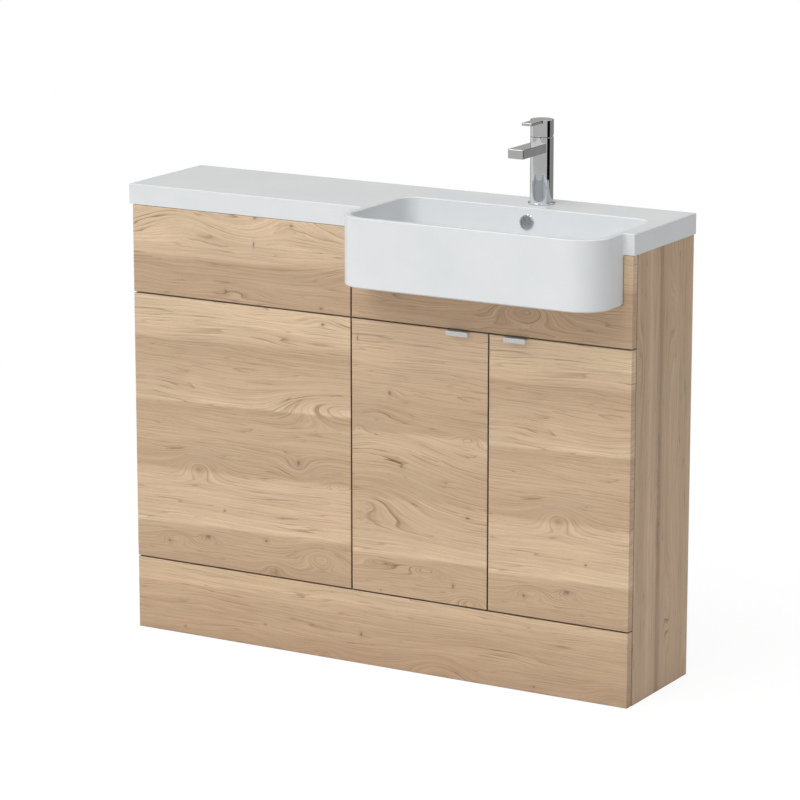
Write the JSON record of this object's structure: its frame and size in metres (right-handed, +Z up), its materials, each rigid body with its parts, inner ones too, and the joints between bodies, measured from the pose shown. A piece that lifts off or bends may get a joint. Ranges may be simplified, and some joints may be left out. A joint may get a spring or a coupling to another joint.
{
  "type": "bathroom vanity unit",
  "caption": "Fitted bathroom combination of a toilet housing unit and a vanity cupboard in oak laminate, under a cast top with a semi-recessed basin, lever tap and push waste.",
  "frame": {"origin": "middle of the footprint of the whole outline, on the floor", "axes": "+X to the right seen from the front, +Y from the fronts towards the wall, +Z up"},
  "size_m": [1.11, 0.368, 1.066],
  "materials": {
    "oak_board": "satin oak-pattern laminate on chipboard",
    "plain_board": "plain laminated chipboard",
    "cast_marble": "satin white gel coat on cast mineral marble",
    "chrome_plate": "polished chrome plate",
    "satin_aluminium": "satin anodised",
    "bright_steel": "zinc plated",
    "cast_zinc": "as cast",
    "turned_brass": "turned",
    "grey_plastic": "moulded",
    "white_plastic": "moulded",
    "black_rubber": "moulded",
    "clear_rubber": "soft clear buffer"
  },
  "bodies": {
    "cabinet": {"plinth": "oak_board", "wc_lower_panel": "oak_board", "vanity_fascia": "oak_board", "wc_left_side": "oak_board", "wc_right_side": "oak_board", "vanity_left_side": "oak_board", "vanity_right_side": "oak_board", "wc_top_rail": "plain_board", "wc_middle_rail": "plain_board", "wc_lower_rail": "plain_board", "wc_wall_rail": "plain_board", "wc_floor_rail": "plain_board", "vanity_fascia_rail": "plain_board", "vanity_plinth_rail": "plain_board", "vanity_base": "plain_board", "vanity_wall_rail": "plain_board", "vanity_floor_rail": "plain_board", "worktop_basin": "cast_marble", "tap_body": "chrome_plate", "tap_base_ring": "chrome_plate", "waste_body": "chrome_plate", "overflow_ring": "chrome_plate", "hinge_arms": "bright_steel", "hinge_plates": "bright_steel", "front_panel_screws": "bright_steel", "cam_bolts": "bright_steel", "unit_connectors": "bright_steel", "tap_stud": "bright_steel", "tap_clamp_plate": "bright_steel", "cam_locks": "cast_zinc", "tap_retaining_nut": "turned_brass", "tap_clamp_nut": "turned_brass", "waste_back_nut": "turned_brass", "overflow_grille": "grey_plastic", "tap_cartridge": "grey_plastic", "tap_aerator": "grey_plastic", "clip_sockets": "white_plastic", "tap_gasket": "black_rubber", "waste_washer": "black_rubber", "tap_clamp_rubber": "black_rubber"},
    "left_door": {"left_door": "oak_board", "left_hinge_cups": "bright_steel", "left_door_screws": "bright_steel", "left_door_handle": "satin_aluminium", "left_door_bumper": "clear_rubber"},
    "right_door": {"right_door": "oak_board", "right_hinge_cups": "bright_steel", "right_door_screws": "bright_steel", "right_door_handle": "satin_aluminium", "right_door_bumper": "clear_rubber"},
    "left_links": {"left_hinge_links": "bright_steel"},
    "right_links": {"right_hinge_links": "bright_steel"},
    "access_panel": {"access_panel": "oak_board", "access_panel_clips": "white_plastic"},
    "tap_turner": {"tap_spindle": "turned_brass"},
    "tap_lever": {"tap_handle": "chrome_plate", "tap_stem": "turned_brass", "tap_grub_screw": "bright_steel"},
    "plug": {"waste_plug": "chrome_plate"}
  },
  "joints": [
    {"name": "left_door_swing", "type": "hinge", "parent": "cabinet", "child": "left_door", "pos_m": [-0.045, -0.076, 0.4], "axis": [0, 0, -1], "range_deg": [0, 100]},
    {"name": "right_door_swing", "type": "hinge", "parent": "cabinet", "child": "right_door", "pos_m": [0.553, -0.076, 0.4], "axis": [0, 0, 1], "range_deg": [0, 100]},
    {"name": "left_link_swing", "type": "hinge", "parent": "cabinet", "child": "left_links", "pos_m": [-0.011, -0.065, 0.4], "axis": [0, 0, 1], "range_deg": [0, 62]},
    {"name": "right_link_swing", "type": "hinge", "parent": "cabinet", "child": "right_links", "pos_m": [0.519, -0.065, 0.4], "axis": [0, 0, -1], "range_deg": [0, 62]},
    {"name": "access_panel_pull", "type": "slide", "parent": "cabinet", "child": "access_panel", "axis": [0, -1, 0], "range_m": [0, 0.05]},
    {"name": "tap_turn", "type": "hinge", "parent": "cabinet", "child": "tap_turner", "pos_m": [0.2535, 0.132, 1.034], "axis": [0, 0, 1], "range_deg": [-45, 45]},
    {"name": "tap_lift", "type": "hinge", "parent": "tap_turner", "child": "tap_lever", "pos_m": [0.2535, 0.132, 1.034], "axis": [-1, 0, 0], "range_deg": [0, 20]},
    {"name": "plug_lift", "type": "slide", "parent": "cabinet", "child": "plug", "axis": [0, 0, 1], "range_m": [0, 0.008]}
  ],
  "couplings": [
    {"joint": "left_link_swing", "follows": "left_door_swing", "ratio": 0.62},
    {"joint": "right_link_swing", "follows": "right_door_swing", "ratio": 0.62}
  ]
}
